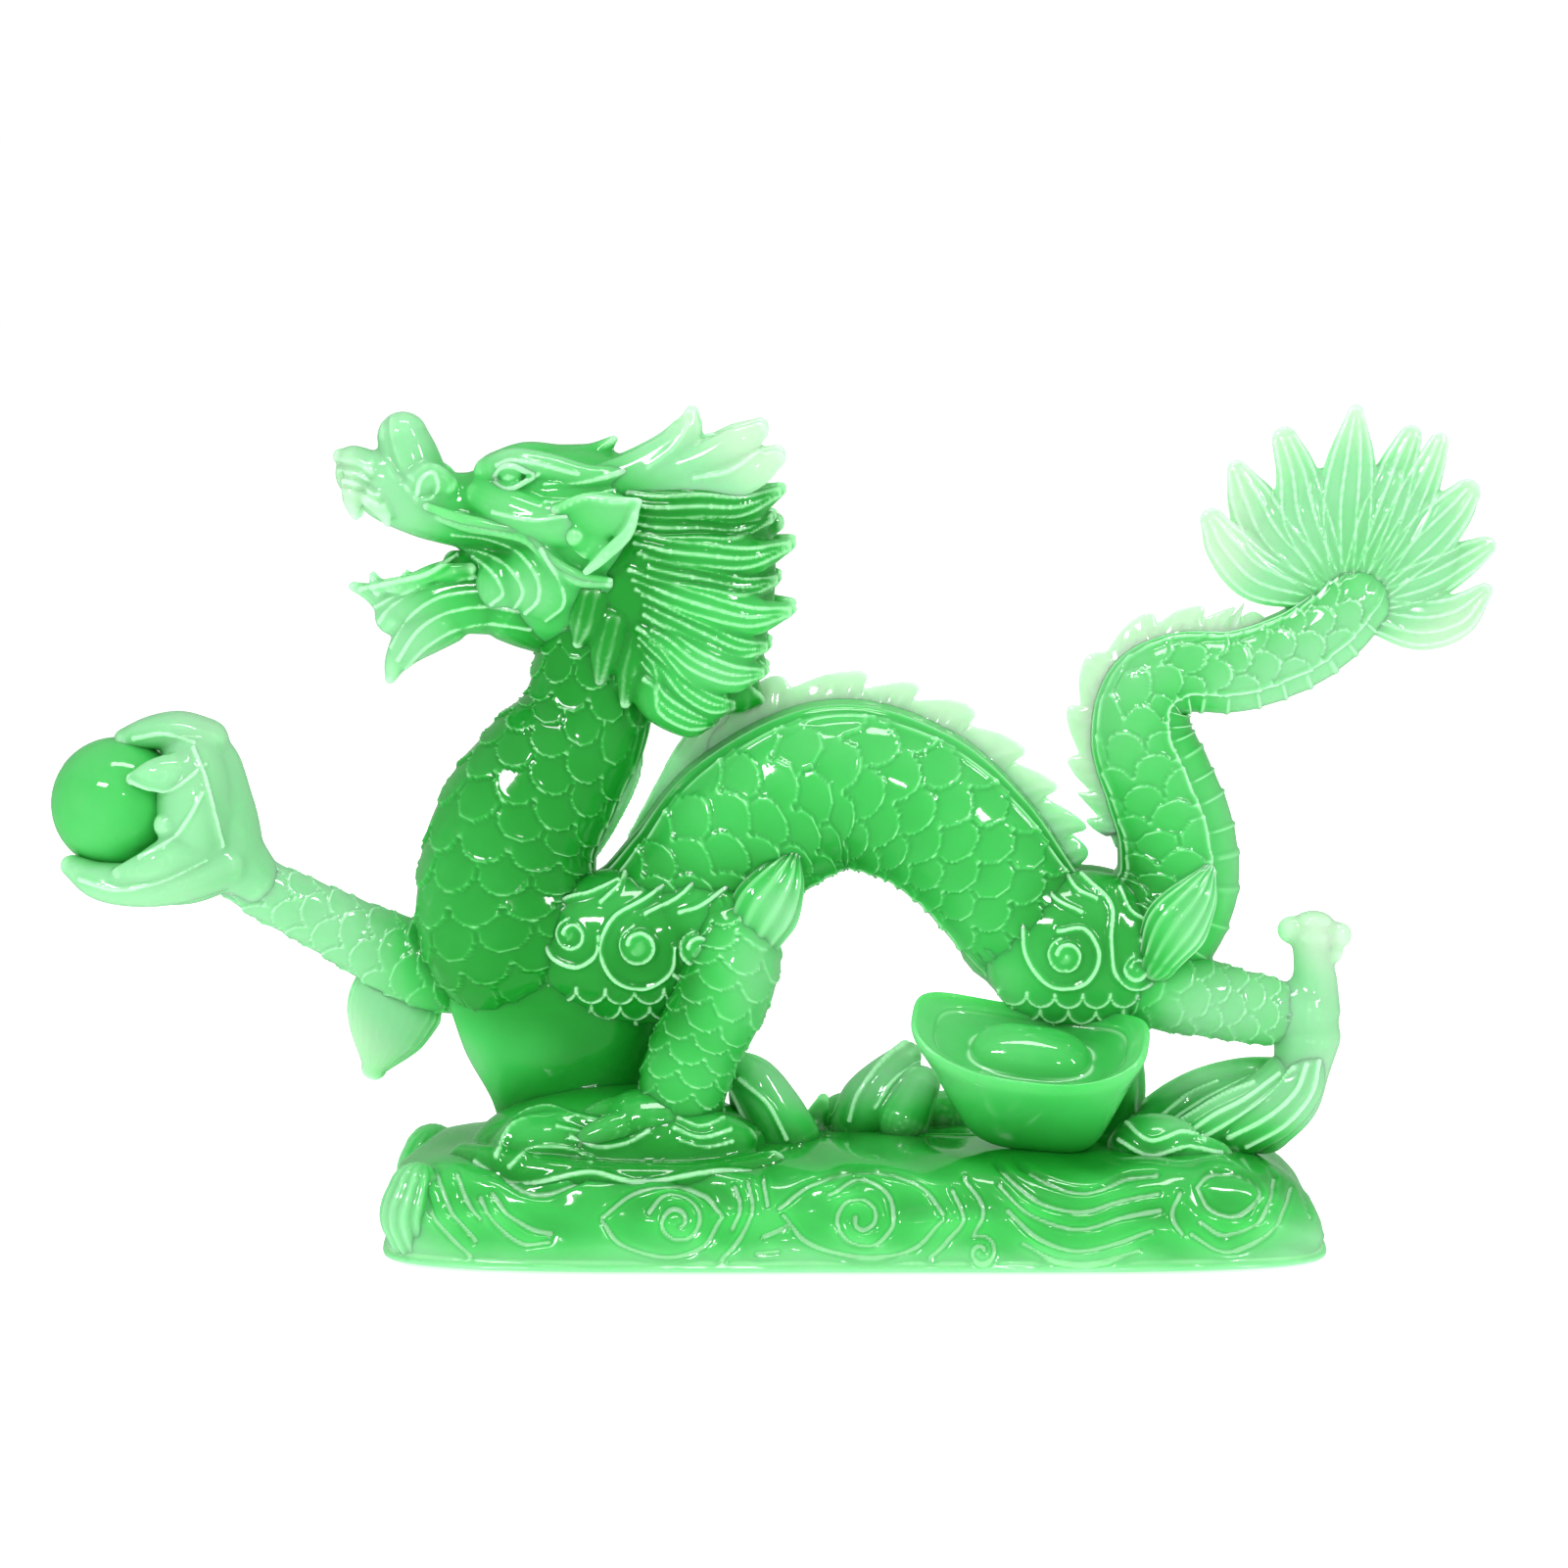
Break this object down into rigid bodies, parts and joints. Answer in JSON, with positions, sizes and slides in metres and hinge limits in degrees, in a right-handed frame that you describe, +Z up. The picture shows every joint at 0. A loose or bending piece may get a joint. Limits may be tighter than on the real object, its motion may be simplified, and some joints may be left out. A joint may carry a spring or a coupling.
{
  "type": "dragon figurine",
  "caption": "Moulded translucent jade-green dragon standing over a swirled cloud base, one paw holding a pearl, an ingot under its rump and a fan-shaped tail plume.",
  "frame": {"origin": "centre of the flat underside of the cloud base", "axes": "+X along the base towards the tail plume, -Y towards the dragon's left side, which carries the ingot, +Z up"},
  "size_m": [0.1709, 0.044, 0.1011],
  "materials": {
    "base_jade": "polished translucent jade-green cast resin, thick",
    "body_jade": "polished translucent jade-green cast resin",
    "thin_jade": "polished translucent cast resin, thin enough to look pale mint",
    "pearl_jade": "highly polished translucent cast resin",
    "ingot_jade": "highly polished translucent cast resin"
  },
  "bodies": {
    "root": {"cloud_base": "base_jade", "ingot": "ingot_jade", "pearl": "pearl_jade", "eye_near": "thin_jade", "eye_far": "thin_jade", "chest": "body_jade", "neck": "body_jade", "back_arch": "body_jade", "rump": "body_jade", "tail": "body_jade", "skull": "body_jade", "snout": "body_jade", "lower_jaw": "body_jade", "tongue": "thin_jade", "head_crown": "body_jade", "near_shoulder": "body_jade", "near_forearm": "body_jade", "near_forefoot": "body_jade", "near_haunch": "body_jade", "far_haunch": "body_jade", "far_upper_arm": "body_jade", "far_forearm": "body_jade", "far_hand": "thin_jade", "hind_leg": "body_jade", "hind_shank": "body_jade", "hind_foot": "thin_jade", "chest_support": "body_jade", "rump_support": "body_jade", "front_cloud": "base_jade", "front_cloud_lobe": "base_jade", "rear_cloud": "base_jade", "hind_cloud": "base_jade", "heel_spur": "thin_jade", "near_elbow_tuft": "thin_jade", "far_elbow_tuft": "thin_jade", "hind_tuft": "thin_jade", "tail_plume": "thin_jade", "back_crest": "thin_jade", "tail_crest": "thin_jade", "nape_fin": "thin_jade", "beard": "thin_jade", "ear_near": "thin_jade", "ear_far": "thin_jade", "horn_near": "thin_jade", "horn_far": "thin_jade", "whisker_near": "thin_jade", "whisker_far": "thin_jade", "mane_near": "body_jade", "mane_far": "body_jade"}
  },
  "joints": []
}
